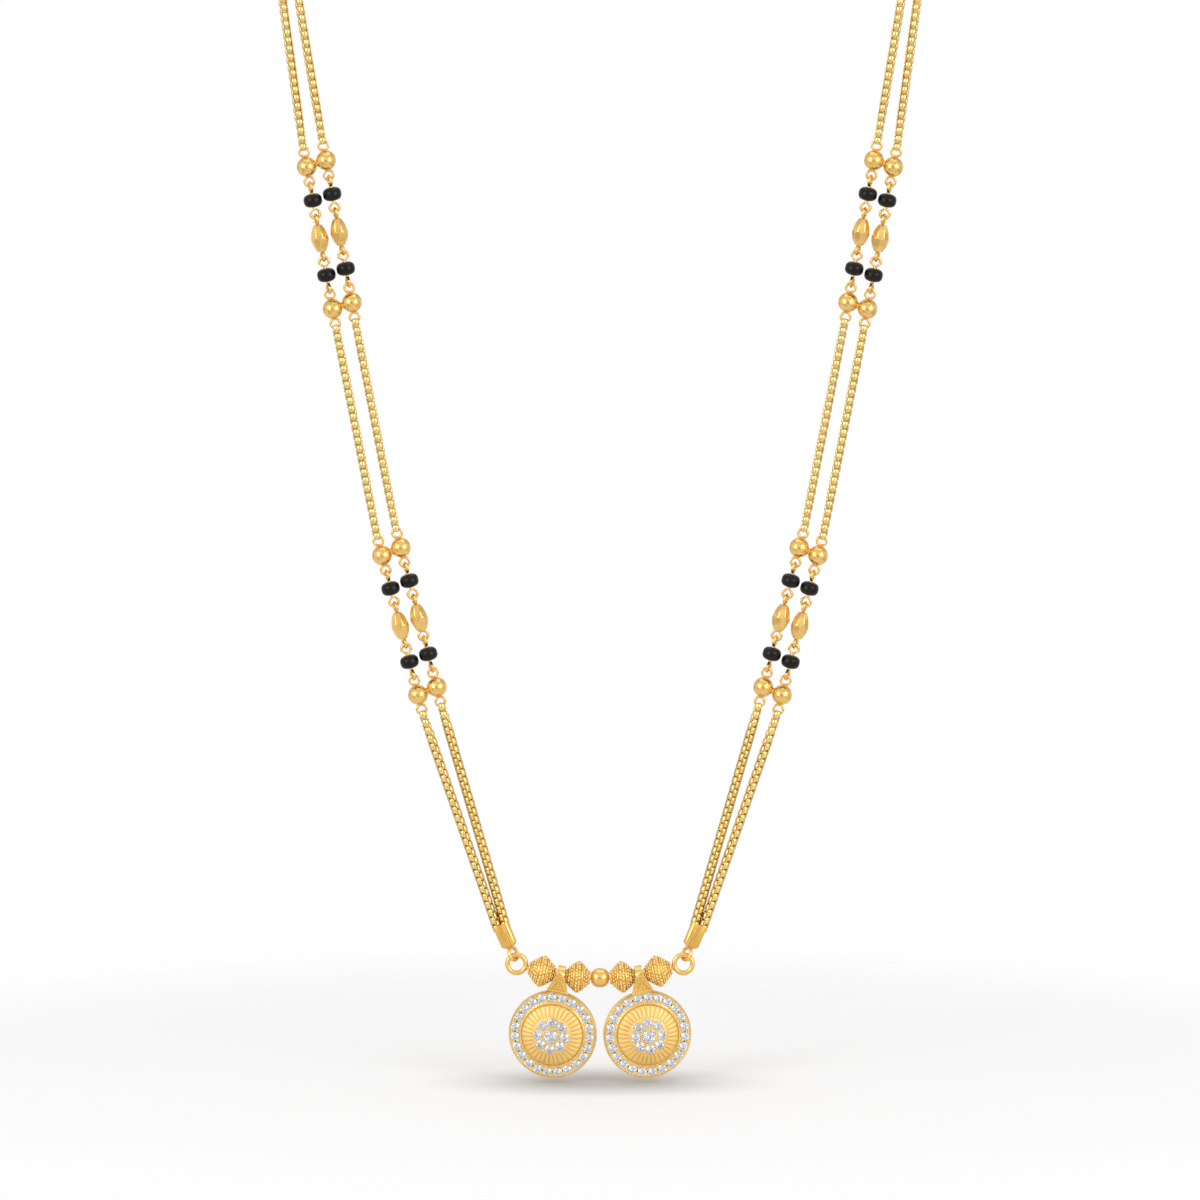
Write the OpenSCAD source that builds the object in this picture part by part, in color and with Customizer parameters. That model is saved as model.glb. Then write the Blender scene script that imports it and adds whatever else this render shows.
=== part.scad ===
// Two strand mangalsutra: box chain, gold and black beads, a curved bar and two vati pendants.
// Lengths are in millimetres. +Z is up, the pendants face -Y and the origin is the neck's centre.

/* [Necklace] */
// Drop from the neck's centre to the middle of the bar
drop = 186; // [182:1:194]
// Width of the box chain
chain_w = 1.2; // [1:0.05:1.25]
// Space between the two chains where a cap holds them
strand_gap = 0.14; // [0.1:0.02:0.3]

/* [Beads on the strands] */
// Diameter of the gold balls that are soldered in pairs
ball_d = 3; // [2.95:0.05:3.4]
// Diameter of a black bead
black_d = 2.8; // [2.4:0.1:2.8]
// Length of a black bead
black_l = 2.05; // [1.7:0.05:2.1]
// Width of a faceted oval bead across its corners
oval_d = 2.7; // [2.4:0.1:2.8]
// Length of a faceted oval bead
oval_l = 4.1; // [3.6:0.1:4.5]
// Radius of a wire eye at the middle of its wire
eye_r = 0.7; // [0.65:0.05:0.8]
// Thickness of the wire in the eyes
eye_wire = 0.4; // [0.3:0.02:0.44]

/* [Caps and clasp] */
// Width of an end cap across the two chains
cap_w = 2.5; // [2.4:0.1:2.8]
// Thickness of an end cap
cap_t = 1.7; // [1.5:0.1:2]
// Length of an end cap
cap_l = 3.8; // [3:0.2:5]
// Radius of a cap's loop at the middle of its wire
loop_r = 0.95; // [0.9:0.05:1.1]
// Thickness of the wire in the loops
loop_wire = 0.5; // [0.4:0.02:0.56]
// Length of the clasp's barrel
clasp_l = 8; // [7:0.5:9]
// Diameter of the clasp's barrel
clasp_d = 3; // [2.4:0.2:3.6]

/* [Bar] */
// Radius that the bar is bent to
bar_bend_r = 38; // [34:1:44]
// Thickness of the bar's wire
bar_wire = 0.7; // [0.6:0.02:0.72]
// Radius of the bar's end rings at the middle of the wire
ring_r = 1.375; // [1.3:0.025:1.5]
// Thickness of the end rings' wire
ring_wire = 0.75; // [0.74:0.01:0.85]
// Widest diameter of the bicone beads
bicone_d = 4.9; // [4.4:0.1:5]
// Length of the outer bicone beads
outer_bicone_l = 4.15; // [4:0.05:4.4]
// Length of the inner bicone beads
inner_bicone_l = 3.8; // [3.6:0.1:4.1]
// Diameter of a bicone bead at its ends
bicone_end_d = 1.75; // [1.6:0.05:1.8]
// Width of the belt round a bicone bead
bicone_belt = 0.8; // [0.6:0.1:1]
// Diameter of the ball in the middle of the bar
bar_ball_d = 2.95; // [2.8:0.05:3.2]
// Length of that ball along the bar
bar_ball_l = 2.6; // [2.4:0.1:2.8]

/* [Pendants] */
// Diameter of a pendant's disc
disc_d = 13.1; // [13:0.05:13.3]
// Depth from the bar to the disc's centre
disc_drop = 9.06; // [9:0.02:9.2]
// Angle of a pendant out from the vertical
pendant_lean = 6.5; // [6:0.5:8]
// Angle that a pendant's face is turned outwards
pendant_turn = 6; // [0:1:8]
// Thickness of the ring that holds the outer stones
rim_t = 1.3; // [1.2:0.05:1.5]
// Diameter of the fluted dome at its foot
dome_d = 9.3; // [9.2:0.05:9.4]
// Diameter of the dome's flat top, which holds the flower of stones
flower_d = 5.7; // [5.6:0.05:5.9]
// Height of the dome above the disc's back
dome_h = 2.5; // [2.4:0.1:2.8]
// Thickness of the metal under the dome's top
dome_wall = 0.95; // [0.9:0.05:1.1]
// Width of the bail at its fold
bail_top_w = 1.1; // [1:0.05:1.2]
// Width of the bail at the disc
bail_foot_w = 2.9; // [2.6:0.1:3.2]
// Radius of the bail's fold
bail_r = 1.4; // [1.35:0.05:1.45]

/* [Stones] */
// Diameter of the small stones
stone_d = 1.3; // [1.2:0.02:1.32]
// Diameter of the stone in the middle of the flower
centre_stone_d = 2; // [1.8:0.05:2.05]
// Least space between two stones of the outer ring
stone_gap = 0.2; // [0.15:0.01:0.25]
// Space from the middle stone to the stones round it
flower_gap = 0.4; // [0.35:0.01:0.42]

/* [Hidden] */
$fn = 48;
SIDES = ["left", "right"];
ROWS = ["outer", "inner"];
ENDS = ["top", "foot"];
STATIONS = ["upper", "lower"];

gold = "#DDB35F";

// Clearance between two wires that are linked, and between a chain's end and what it meets
link_gap = 0.1;
// Clearance of a bead's or bail's bore round its wire
bore_gap = 0.15;
// Clearance between neighbours on the bar
bar_gap = 0.14;
// Clearance of a stone in its seat
seat_gap = 0.07;

// The front hangs in one plane, this far before the neck's centre
front_y = 46;
// Middle of each bead station's outer row, x and z, and the row's lean out from the vertical
station_places = [
    [42, -73.9],
    [30, -132.5]
];
station_leans = [10.2, 14.3];
// Turn of a soldered ball pair from square to its strand
pair_skew = 8.5;
// Way of the two chains over the shoulder to the nape: x, y, z and the space between them
shoulder_route = [
    [46.3, -46, -38, 2.4],
    [49.2, -43.5, -18, 2.1],
    [51.3, -31, -3.5, 1.9],
    [51.2, -14, 0, 1.7],
    [47.2, 8, 0, 1.6],
    [36.5, 30, -0.5, 1.5],
    [17.5, 46, -0.5, 1.4]
];
// Angle down from the outward side at which the outer chain lies, at each point of that way
route_rolls = [9, 18, 40, 60, 75, 85, 90];
// Rings of the swept chain between two points of that way
route_steps = 2;
// Middle of the clasp at the nape, and the angle at which the caps leave it
nape = [0, 49.5, -0.5];
nape_turn = 10;

// Places along a bead station, out from the middle of its oval bead
stem_wire = 0.8 * eye_wire;
eye_out = eye_r + eye_wire / 2;
eye_sink = 0.15;
eye_pitch = 2 * eye_r - eye_wire - link_gap;
ball_eye = ball_d / 2 + eye_out - eye_sink;
oval_eye = oval_l / 2 + eye_out - eye_sink;
black_eye = black_l / 2 + eye_out + link_gap;
black_at = oval_eye + eye_pitch + black_eye;
ball_at = black_at + black_eye + eye_pitch + ball_eye;
station_end = ball_at + ball_eye + eye_out + link_gap;
pair_pitch = ball_d + 0.05;
black_round = 0.54 * black_l;
strand_half = (chain_w + strand_gap) / 2;

// Places along the bar, measured on its wire from the middle
inner_bicone_at = bar_ball_l / 2 + bar_gap + inner_bicone_l / 2;
bail_space = bail_top_w + 2 * bar_gap + 0.1;
bail_at = inner_bicone_at + inner_bicone_l / 2 + bail_space / 2;
outer_bicone_at = bail_at + bail_space / 2 + outer_bicone_l / 2;
ring_at = outer_bicone_at + outer_bicone_l / 2 + bar_gap + ring_r + ring_wire / 2;
bore_d = bar_wire + 2 * bore_gap;

// End caps
cap_foot = loop_r - 0.05;
cap_top = cap_foot + cap_l;
ring_to_loop = ring_r + loop_r - (ring_wire + loop_wire) / 2 - link_gap;
clasp_eye = clasp_l / 2 + loop_r + loop_wire / 2 - 0.2;
nape_loop = clasp_eye + 2 * loop_r - loop_wire - link_gap;

// Pendants
disc_r = disc_d / 2;
dome_r = dome_d / 2;
flower_top_r = flower_d / 2;
disc_set = 0.985;
rim_edge = 0.15;
stone_ring_r = (disc_r + dome_r) / 2;
ring_count = floor(2 * PI * stone_ring_r / (stone_d + stone_gap));
flower_r = (centre_stone_d + stone_d) / 2 + flower_gap;
flower_count = floor(2 * PI * flower_r / (stone_d + stone_gap));
flower_slope = 9;
crown_h = dome_h + 0.3;

// Shares of a stone's diameter
table_share = 0.56;
crown_share = 0.16;
girdle_share = 0.05;
pavilion_share = 0.42;

function unit(v) = v / norm(v);
function bar_angle(length) = length / bar_bend_r * 180 / PI;
function bar_point(length) = [
    bar_bend_r * sin(bar_angle(length)),
    -front_y,
    -drop + bar_bend_r * (1 - cos(bar_angle(length)))
];

// A point of a bead station in the necklace's frame, from its row and its height along the row
function row_offset(row) = row == "outer" ? [0, 0] : pair_pitch * [-cos(pair_skew), sin(pair_skew)];
function lean_point(origin, lean, x, z) =
    origin + [x * cos(lean) + z * sin(lean), 0, z * cos(lean) - x * sin(lean)];
function station_point(at, row, height) =
    let (place = station_places[at], shift = row_offset(row))
    lean_point([place.x, -front_y, place.y], station_leans[at], shift.x, shift.y + height);

// The cap hangs from the end ring in line with the chains above it
ring_centre = bar_point(ring_at);
lower_foot = (station_point(1, "outer", -station_end) + station_point(1, "inner", -station_end)) / 2;
cap_aim = lower_foot - ring_centre;
cap_lean = atan2(cap_aim.x, cap_aim.z);
cap_loop = lean_point(ring_centre, cap_lean, 0, ring_to_loop);
function row_side(row) = row == "outer" ? 1 : -1;
function front_cap_point(row) =
    lean_point(cap_loop, cap_lean, row_side(row) * strand_half, cap_top + link_gap);
function rear_cap_point(row) =
    nape + [nape_loop + (cap_top + link_gap) * cos(nape_turn), -(cap_top + link_gap) * sin(nape_turn),
        -row_side(row) * strand_half];

// Outward side of a route row: sideways in front of the neck, away from its middle behind
function outward(p) = unit([p.x, max(p.y, 0), 0]);
function route_point(p, roll, row) =
    [p[0], p[1], p[2]] + row_side(row) * p[3] / 2 * (cos(roll) * outward(p) - [0, 0, sin(roll)]);
function upper_points(row) = concat(
    [station_point(0, row, station_end)],
    [for (i = [0:len(shoulder_route) - 1]) route_point(shoulder_route[i], route_rolls[i], row)],
    [rear_cap_point(row)]
);

// A smooth curve through the points of a list
function spline(a, b, c, d, t) =
    (2 * b + (c - a) * t + (2 * a - 5 * b + 4 * c - d) * t * t + (3 * b - a - 3 * c + d) * t * t * t) / 2;
function smooth(points) =
    let (last = len(points) - 1)
    concat([for (i = [0:last - 1]) for (k = [0:route_steps - 1])
        spline(points[max(i - 1, 0)], points[i], points[i + 1], points[min(i + 2, last)], k / route_steps)],
        [points[last]]);

// Directions along a path, and a side direction carried along it without twist
function along(path) = [for (i = [0:len(path) - 1])
    unit(path[min(i + 1, len(path) - 1)] - path[max(i - 1, 0)])];
function square_to(v, direction) = unit(v - (v * direction) * direction);
function carried(ways) = [for (
    i = 0, side = square_to([1, 0, 0], ways[0]);
    i < len(ways);
    i = i + 1, side = square_to(side, ways[min(i, len(ways) - 1)])
) side];

// Chain run swept along a path with eight sides
module chain_run(path) {
    sides = 8;
    ways = along(path);
    across = carried(ways);
    rings = len(path);
    points = [for (i = [0:rings - 1]) for (k = [0:sides - 1])
        let (angle = (k + 0.5) * 360 / sides)
        path[i] + chain_w / 2 * (cos(angle) * across[i] + sin(angle) * cross(ways[i], across[i]))];
    walls = [for (i = [0:rings - 2]) for (k = [0:sides - 1])
        let (next = (k + 1) % sides)
        [i * sides + k, (i + 1) * sides + k, (i + 1) * sides + next, i * sides + next]];
    first = [for (k = [0:sides - 1]) k];
    last = [for (k = [sides - 1:-1:0]) (rings - 1) * sides + k];
    color(gold) polyhedron(points, concat(walls, [first, last]));
}

module wire_ring(r, wire) {
    rotate_extrude() translate([r, 0]) circle(d = wire);
}

// Ring whose hole is seen from the front
module facing_ring(r, wire) {
    rotate([90, 0, 0]) wire_ring(r, wire);
}

// Ring whose hole is seen from the side
module edge_ring(r, wire) {
    rotate([0, 90, 0]) wire_ring(r, wire);
}

module on_side(side) {
    if (side == "left") mirror([1, 0, 0]) children();
    else children();
}

module at_station(at, row, height) {
    translate(station_point(at, row, height)) rotate([0, station_leans[at], 0]) children();
}

module on_bar(length) {
    translate(bar_point(length)) rotate([0, -bar_angle(length), 0]) children();
}

// Turned bead with rounded sides and flat ends, drilled along its length
module barrel(d, l, round_r, bore) {
    rotate_extrude() intersection() {
        translate([d / 2 - round_r, 0]) circle(r = round_r);
        translate([bore / 2, -l / 2]) square([d, l]);
    }
}

module ball_with_eyes() {
    sphere(d = ball_d);
    for (way = [-1, 1]) translate([0, 0, way * ball_eye]) facing_ring(eye_r, eye_wire);
}

// Two balls soldered side by side, one on each strand
module ball_pair(at, end) {
    height = end == "top" ? ball_at : -ball_at;
    joint_d = ball_d / 3;
    color(gold) at_station(at, "outer", height) {
        ball_with_eyes();
        translate([row_offset("inner").x, 0, row_offset("inner").y]) ball_with_eyes();
        rotate([0, -90 + pair_skew, 0]) translate([0, 0, ball_d / 2 - 0.3])
            cylinder(h = pair_pitch - ball_d + 0.6, d = joint_d);
    }
}

// Long bead with eight staggered facets above and below its belt
module oval_bead(at, row) {
    belt = 0.06 * oval_l;
    shoulder = 0.3 * oval_l;
    color(gold) at_station(at, row, 0) {
        hull() for (way = [0, 1]) rotate([way * 180, 0, way * 22.5]) {
            translate([0, 0, belt]) cylinder(h = shoulder - belt, d1 = oval_d, d2 = 0.83 * oval_d, $fn = 8);
            cylinder(h = oval_l / 2, d = 0.46 * oval_d, $fn = 8);
        }
        for (way = [-1, 1]) translate([0, 0, way * oval_eye]) edge_ring(eye_r, eye_wire);
    }
}

module black_bead(at, row, end) {
    height = end == "top" ? black_at : -black_at;
    color("#141414") at_station(at, row, height)
        barrel(black_d, black_l, black_round, stem_wire + 2 * bore_gap);
}

// Wire through a black bead: its eye faces front on the oval bead's side
module black_pin(at, row, end) {
    height = end == "top" ? black_at : -black_at;
    oval_way = end == "top" ? -1 : 1;
    at_station(at, row, height) {
        translate([0, 0, oval_way * black_eye]) facing_ring(eye_r, eye_wire);
        translate([0, 0, -oval_way * black_eye]) edge_ring(eye_r, eye_wire);
        cylinder(h = 2 * (black_eye - eye_r), d = stem_wire, center = true);
    }
}

module black_bead_pins() {
    color(gold) for (side = SIDES) on_side(side)
        for (at = [0, 1]) for (row = ROWS) for (end = ENDS) black_pin(at, row, end);
}

// Flat cap with its loop at the origin, holding the two chains on its top face
module end_cap() {
    corner = 0.2 * cap_w;
    side_x = cap_w / 2;
    side_y = cap_t / 2;
    bevel = 0.25 * cap_t;
    color(gold) {
        edge_ring(loop_r, loop_wire);
        intersection() {
            linear_extrude(cap_top) polygon([
                [-side_x + bevel, -side_y], [side_x - bevel, -side_y], [side_x, -side_y + bevel],
                [side_x, side_y - bevel], [side_x - bevel, side_y], [-side_x + bevel, side_y],
                [-side_x, side_y - bevel], [-side_x, -side_y + bevel]
            ]);
            rotate([90, 0, 0]) linear_extrude(2 * cap_t, center = true) polygon([
                [-side_x, cap_top], [side_x, cap_top], [side_x, cap_foot + corner],
                [side_x - corner, cap_foot], [corner - side_x, cap_foot], [-side_x, cap_foot + corner]
            ]);
        }
    }
}

module front_cap() {
    translate(cap_loop) rotate([0, cap_lean, 0]) end_cap();
}

module rear_cap() {
    translate(nape + [nape_loop, 0, 0]) rotate([0, 0, -nape_turn]) rotate([0, 90, 0]) end_cap();
}

module clasp() {
    color(gold) translate(nape) {
        rotate([0, 90, 0]) rotate_extrude() polygon([
            [0, -clasp_l / 2], [clasp_d / 3, -clasp_l / 2], [clasp_d / 2, -clasp_l / 3],
            [clasp_d / 2, clasp_l / 3], [clasp_d / 3, clasp_l / 2], [0, clasp_l / 2]
        ]);
        for (way = [-1, 1]) translate([way * clasp_eye, 0, 0]) facing_ring(loop_r, loop_wire);
    }
}

// Bent wire with a ring soldered to each end
module bar_wire() {
    half_turn = bar_angle(ring_at - ring_r);
    color(gold) {
        translate([0, -front_y, -drop + bar_bend_r]) rotate([90, 0, 0]) rotate([0, 0, -90 - half_turn])
            rotate_extrude(angle = 2 * half_turn, $fn = 180) translate([bar_bend_r, 0]) circle(d = bar_wire);
        for (side = SIDES) on_side(side) on_bar(ring_at) facing_ring(ring_r, ring_wire);
    }
}

module bar_ball() {
    color(gold) on_bar(0) rotate([0, 90, 0]) barrel(bar_ball_d, bar_ball_l, bar_ball_d / 2, bore_d);
}

module bicone(length, l) {
    color(gold) on_bar(length) rotate([0, 90, 0]) rotate_extrude() polygon([
        [bore_d / 2, -l / 2], [bicone_end_d / 2, -l / 2], [bicone_d / 2, -bicone_belt / 2],
        [bicone_d / 2, bicone_belt / 2], [bicone_end_d / 2, l / 2], [bore_d / 2, l / 2]
    ]);
}

// Cut stone with a table and eight facets above and below its girdle, at its own middle
module stone(d) {
    girdle = girdle_share * d / 2;
    rotate_extrude($fn = 8) polygon([
        [0, -pavilion_share * d], [d / 2, -girdle], [d / 2, girdle],
        [table_share * d / 2, crown_share * d], [0, crown_share * d]
    ]);
}

// Hollow that a stone sits in, open to the front
module seat(d) {
    rotate_extrude() polygon([
        [0, -pavilion_share * d - 2 * seat_gap], [d / 2 + seat_gap, -girdle_share * d / 2],
        [d / 2 + seat_gap, d], [0, d]
    ]);
}

// Pendant's frame: origin at the bar, with the face turned outwards
module on_pendant() {
    translate(bar_point(bail_at)) rotate([0, -pendant_lean, 0]) children();
}

// Disc's frame: +Z out of its face, origin in the middle of its back
module on_disc() {
    rotate([0, 0, pendant_turn]) translate([0, disc_set, -disc_drop]) rotate([90, 0, 0]) children();
}

// Places of the stones: outer ring, then flower, then its middle
module each_stone(cut) {
    for (k = [0:ring_count - 1]) rotate([0, 0, k * 360 / ring_count])
        translate([0, stone_ring_r, rim_t]) if (cut) seat(stone_d);
        else stone(stone_d);
    for (k = [0:flower_count - 1]) rotate([0, 0, k * 360 / flower_count])
        translate([0, flower_r, crown_h - flower_r * tan(flower_slope)]) rotate([-flower_slope, 0, 0])
            if (cut) seat(stone_d);
            else stone(stone_d);
    translate([0, 0, crown_h]) if (cut) seat(centre_stone_d);
    else stone(centre_stone_d);
}

// Round disc: a flat ring, a dome with a hollow back and a flat topped flower
module disc() {
    ceiling = crown_h - dome_wall - 0.2;
    plateau = crown_h - flower_top_r * tan(flower_slope);
    swell = (plateau + rim_t) / 2 + 0.15;
    rotate_extrude() polygon([
        [0, ceiling], [0.8 * flower_top_r, ceiling], [0.75 * dome_r, 0.55 * ceiling], [0.92 * dome_r, 0],
        [disc_r - rim_edge, 0], [disc_r, rim_edge], [disc_r, rim_t - rim_edge],
        [disc_r - rim_edge, rim_t], [dome_r + rim_edge, rim_t], [dome_r, rim_t - rim_edge],
        [(dome_r + flower_top_r) / 2, swell], [flower_top_r, plateau], [0, crown_h]
    ]);
}

// Folded strap round the bar, wide at the disc and narrow at the fold
module bail() {
    foot = disc_drop - disc_r + 0.3;
    hollow_foot = foot - 0.9;
    rotate([0, 0, pendant_turn]) difference() {
        intersection() {
            rotate([90, 0, 90]) linear_extrude(2 * bail_foot_w, center = true) {
                circle(r = bail_r);
                polygon([[-bail_r, 0], [bail_r, 0], [0.9 * bail_r, -foot], [-0.8 * bail_r, -foot]]);
            }
            rotate([90, 0, 0]) linear_extrude(4 * bail_r, center = true) polygon([
                [-bail_top_w / 2, bail_r], [bail_top_w / 2, bail_r],
                [bail_foot_w / 2, -foot], [-bail_foot_w / 2, -foot]
            ]);
        }
        translate([-bail_foot_w, -0.7 * bail_r, -hollow_foot])
            cube([2 * bail_foot_w, 1.4 * bail_r, hollow_foot - 0.15]);
    }
}

// Room round the bail's bore for the bar and, as it swings, for the ends of its two neighbours
module bail_room() {
    face = bail_space / 2 - bar_gap;
    wide = bicone_end_d / 2 + 0.1;
    deep = bail_foot_w / 2;
    slope = 1.3 * (bicone_d - bicone_end_d) / (outer_bicone_l - bicone_belt);
    rotate([0, 90, 0]) cylinder(h = 4 * bail_foot_w, d = bore_d, center = true);
    for (way = [-1, 1]) rotate([0, way * 90, 0]) translate([0, 0, face])
        cylinder(h = deep, r1 = wide, r2 = wide + slope * deep);
}

module pendant() {
    color(gold) on_pendant() difference() {
        union() {
            on_disc() disc();
            difference() {
                bail();
                bail_room();
            }
        }
        on_disc() each_stone(true);
    }
}

module pendant_stones() {
    color("white") on_pendant() on_disc() each_stone(false);
}

bar_wire();
bar_ball();
clasp();
black_bead_pins();

for (side = SIDES) on_side(side) {
    bicone(outer_bicone_at, outer_bicone_l);
    bicone(inner_bicone_at, inner_bicone_l);
    pendant();
    pendant_stones();
    front_cap();
    rear_cap();
    for (at = [0, 1]) {
        for (end = ENDS)
            ball_pair(at, end);
        for (row = ROWS) {
            oval_bead(at, row);
            for (end = ENDS)
                black_bead(at, row, end);
        }
    }
    for (row = ROWS) {
        chain_run([front_cap_point(row), station_point(1, row, -station_end)]);
        chain_run([station_point(1, row, station_end), station_point(0, row, -station_end)]);
        chain_run(smooth(upper_points(row)));
    }
}
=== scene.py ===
import math
import random
import bmesh
import bpy
from mathutils import Matrix, Vector


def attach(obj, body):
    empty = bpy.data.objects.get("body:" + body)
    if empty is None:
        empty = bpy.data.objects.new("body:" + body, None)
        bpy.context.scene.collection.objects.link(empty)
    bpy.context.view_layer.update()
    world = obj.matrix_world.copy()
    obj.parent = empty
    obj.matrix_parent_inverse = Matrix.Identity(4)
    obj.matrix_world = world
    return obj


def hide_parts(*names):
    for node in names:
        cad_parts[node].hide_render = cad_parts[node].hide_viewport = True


# Two-strand mangalsutra: box chain, gold and black beads, a bent bar and two stone-set vati pendants
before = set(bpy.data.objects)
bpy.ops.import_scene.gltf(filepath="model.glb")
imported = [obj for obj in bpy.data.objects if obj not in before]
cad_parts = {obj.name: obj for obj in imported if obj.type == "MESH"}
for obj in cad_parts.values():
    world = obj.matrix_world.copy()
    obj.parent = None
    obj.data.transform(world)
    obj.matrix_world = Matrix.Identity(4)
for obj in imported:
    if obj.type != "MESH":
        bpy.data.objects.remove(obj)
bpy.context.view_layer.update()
print("frame loaded:", len(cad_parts), "CAD nodes")

sides, rows, ends = ("left", "right"), ("outer", "inner"), ("top", "foot")
toMetres = Matrix.Scale(0.001, 4)  # pieces are modelled in millimetres
sideTurn = {"right": Matrix.Identity(4), "left": Matrix.Diagonal((-1, 1, 1, 1))}


# where everything hangs, in the CAD source's own millimetres and degrees
hang = {
    "drop": 186, "frontY": -46, "barBend": 38,  # the bar's lowest point, the front and the bar's radius
    "stations": {"upper": (42, -73.9, 10.2), "lower": (30, -132.5, 14.3)},  # x, z, lean
    "pairPitch": 3.05, "pairSkew": 8.5, "stationEnd": 14.15,  # a station's two strands and half its length
    "blackAt": 5.725, "blackEye": 2.025,  # from the middle of the station, and of the bead
    "innerBiconeAt": 3.34, "bailAt": 5.98, "outerBiconeAt": 8.795, "ringAt": 12.76,  # along the bar
    "ringToLoop": 1.6, "capLean": 5, "capTop": 4.7, "linkGap": 0.1, "strandHalf": 0.67,
    "nape": (0, 49.5, -0.5), "napeTurn": 10, "napeLoop": 6.35,
}
shoulderWay = [  # x, y, z, space between the strands, roll of the outer strand from outwards to down
    (46.3, -46, -38, 2.4, 9), (49.2, -43.5, -18, 2.1, 18), (51.3, -31, -3.5, 1.9, 40),
    (51.2, -14, 0, 1.7, 60), (47.2, 8, 0, 1.6, 75), (36.5, 30, -0.5, 1.5, 85), (17.5, 46, -0.5, 1.4, 90),
]


def shift(x, y, z):
    return Matrix.Translation((x, y, z))


def turn(angle, axis):
    return Matrix.Rotation(math.radians(angle), 4, axis)


def stationPlace(name, row, height):  # a spot on a bead station, with z along its strand
    x, z, lean = hang["stations"][name]
    skew = math.radians(hang["pairSkew"])
    inward = Vector((-math.cos(skew), 0, math.sin(skew))) * (hang["pairPitch"] if row == "inner" else 0)
    station = shift(x, hang["frontY"], z) @ turn(lean, "Y")
    return station @ Matrix.Translation(inward + Vector((0, 0, height)))


def barPlace(length):  # a spot on the bent bar, with x along its wire
    angle = length / hang["barBend"]
    rise = hang["barBend"] * (1 - math.cos(angle))
    spot = shift(hang["barBend"] * math.sin(angle), hang["frontY"], rise - hang["drop"])
    return spot @ Matrix.Rotation(-angle, 4, "Y")


def capPlace():  # the end cap's loop, with z up along the cap to the two chains
    ring = barPlace(hang["ringAt"]).translation
    feet = [stationPlace("lower", row, -hang["stationEnd"]).translation for row in rows]
    aim = (feet[0] + feet[1]) / 2 - ring
    leaning = Matrix.Translation(ring) @ Matrix.Rotation(math.atan2(aim.x, aim.z), 4, "Y")
    return leaning @ shift(0, 0, hang["ringToLoop"]) @ turn(hang["capLean"], "Y")


def rearCapPlace():  # the same for the cap at the nape
    x, y, z = hang["nape"]
    return shift(x + hang["napeLoop"], y, z) @ turn(-hang["napeTurn"], "Z") @ turn(90, "Y")


# small helpers for modelling by hand
def deselectAll():
    bpy.ops.object.select_all(action="DESELECT")


def selectOnly(piece):
    deselectAll()
    piece.select_set(True)
    bpy.context.view_layer.objects.active = piece


def openEdit(piece):
    selectOnly(piece)
    bpy.ops.object.mode_set(mode="EDIT")
    bpy.ops.mesh.select_all(action="SELECT")


def closeEdit():
    bpy.ops.object.mode_set(mode="OBJECT")


def closeOutwards():  # leaves edit mode with every face pointing outwards
    bpy.ops.mesh.select_all(action="SELECT")
    bpy.ops.mesh.normals_make_consistent(inside=False)
    closeEdit()


def applyPlace():
    bpy.ops.object.transform_apply(location=True, rotation=True, scale=True)


def pick(kind, test):  # selects what passes the test, which gets its middle and itself
    bpy.ops.mesh.select_mode(type=kind)
    bpy.ops.mesh.select_all(action="DESELECT")
    mesh = bmesh.from_edit_mesh(bpy.context.edit_object.data)
    for part in {"VERT": mesh.verts, "EDGE": mesh.edges, "FACE": mesh.faces}[kind]:
        points = [part.co] if kind == "VERT" else [v.co for v in part.verts]
        if test(sum(points, Vector()) / len(points), part):
            part.select_set(True)
    mesh.select_flush_mode()
    bmesh.update_edit_mesh(bpy.context.edit_object.data)


def named(name):
    piece = bpy.context.object
    piece.name = piece.data.name = name
    return piece


def turned(name, around, profile, bored=False):  # a lathe shape about z from (radius, height) pairs
    deselectAll()
    bpy.ops.mesh.primitive_circle_add(
        vertices=around, radius=profile[0][0], fill_type="NOTHING" if bored else "NGON"
    )
    piece = named(name)
    openEdit(piece)
    bpy.ops.transform.translate(value=(0, 0, profile[0][1]))
    for before, after in zip(profile, profile[1:]):
        bpy.ops.mesh.extrude_region_move(TRANSFORM_OT_translate={"value": (0, 0, after[1] - before[1])})
        grow = after[0] / before[0]
        bpy.ops.transform.resize(value=(grow, grow, 1), center_override=(0, 0, after[1]))
    if bored:  # the two open ends are joined through the middle
        pick("EDGE", lambda middle, edge: edge.is_boundary)
        bpy.ops.mesh.bridge_edge_loops()
    closeOutwards()
    return piece


def wireRing(name, radius, wire, around, section, **place):  # a round wire bent to a ring
    deselectAll()
    bpy.ops.mesh.primitive_torus_add(
        major_radius=radius, minor_radius=wire, major_segments=around, minor_segments=section, **place
    )
    applyPlace()
    return named(name)


def applied(piece, kind, **values):  # adds a modifier and applies it
    selectOnly(piece)
    modifier = piece.modifiers.new(kind.lower(), kind)
    for name, value in values.items():
        setattr(modifier, name, value)
    bpy.ops.object.modifier_apply(modifier=modifier.name)
    return piece


def bevelled(piece, sizes, segments=2):  # softens the edges that turn by more than an angle
    return applied(piece, "BEVEL", width=sizes["soften"], segments=segments, limit_method="ANGLE",
                   angle_limit=math.radians(sizes["softenFrom"]))


smoothing = {  # degrees up to which an edge is smoothed over
    "granule": 180, "link": 95, "wire": 80, "turned": 60, "barBead": 50, "bail": 40, "sheet": 35,
    "oval": 15.5, "stone": 1,
}


def coated(piece, *coats):  # its materials, by the names of their finishes
    piece.data.materials.clear()
    for coat in coats:
        piece.data.materials.append(finishes[coat])


def smoothed(piece, kind, *coats):
    selectOnly(piece)
    bpy.ops.object.shade_smooth_by_angle(angle=math.radians(smoothing[kind]))
    coated(piece, *coats)
    return piece


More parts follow.
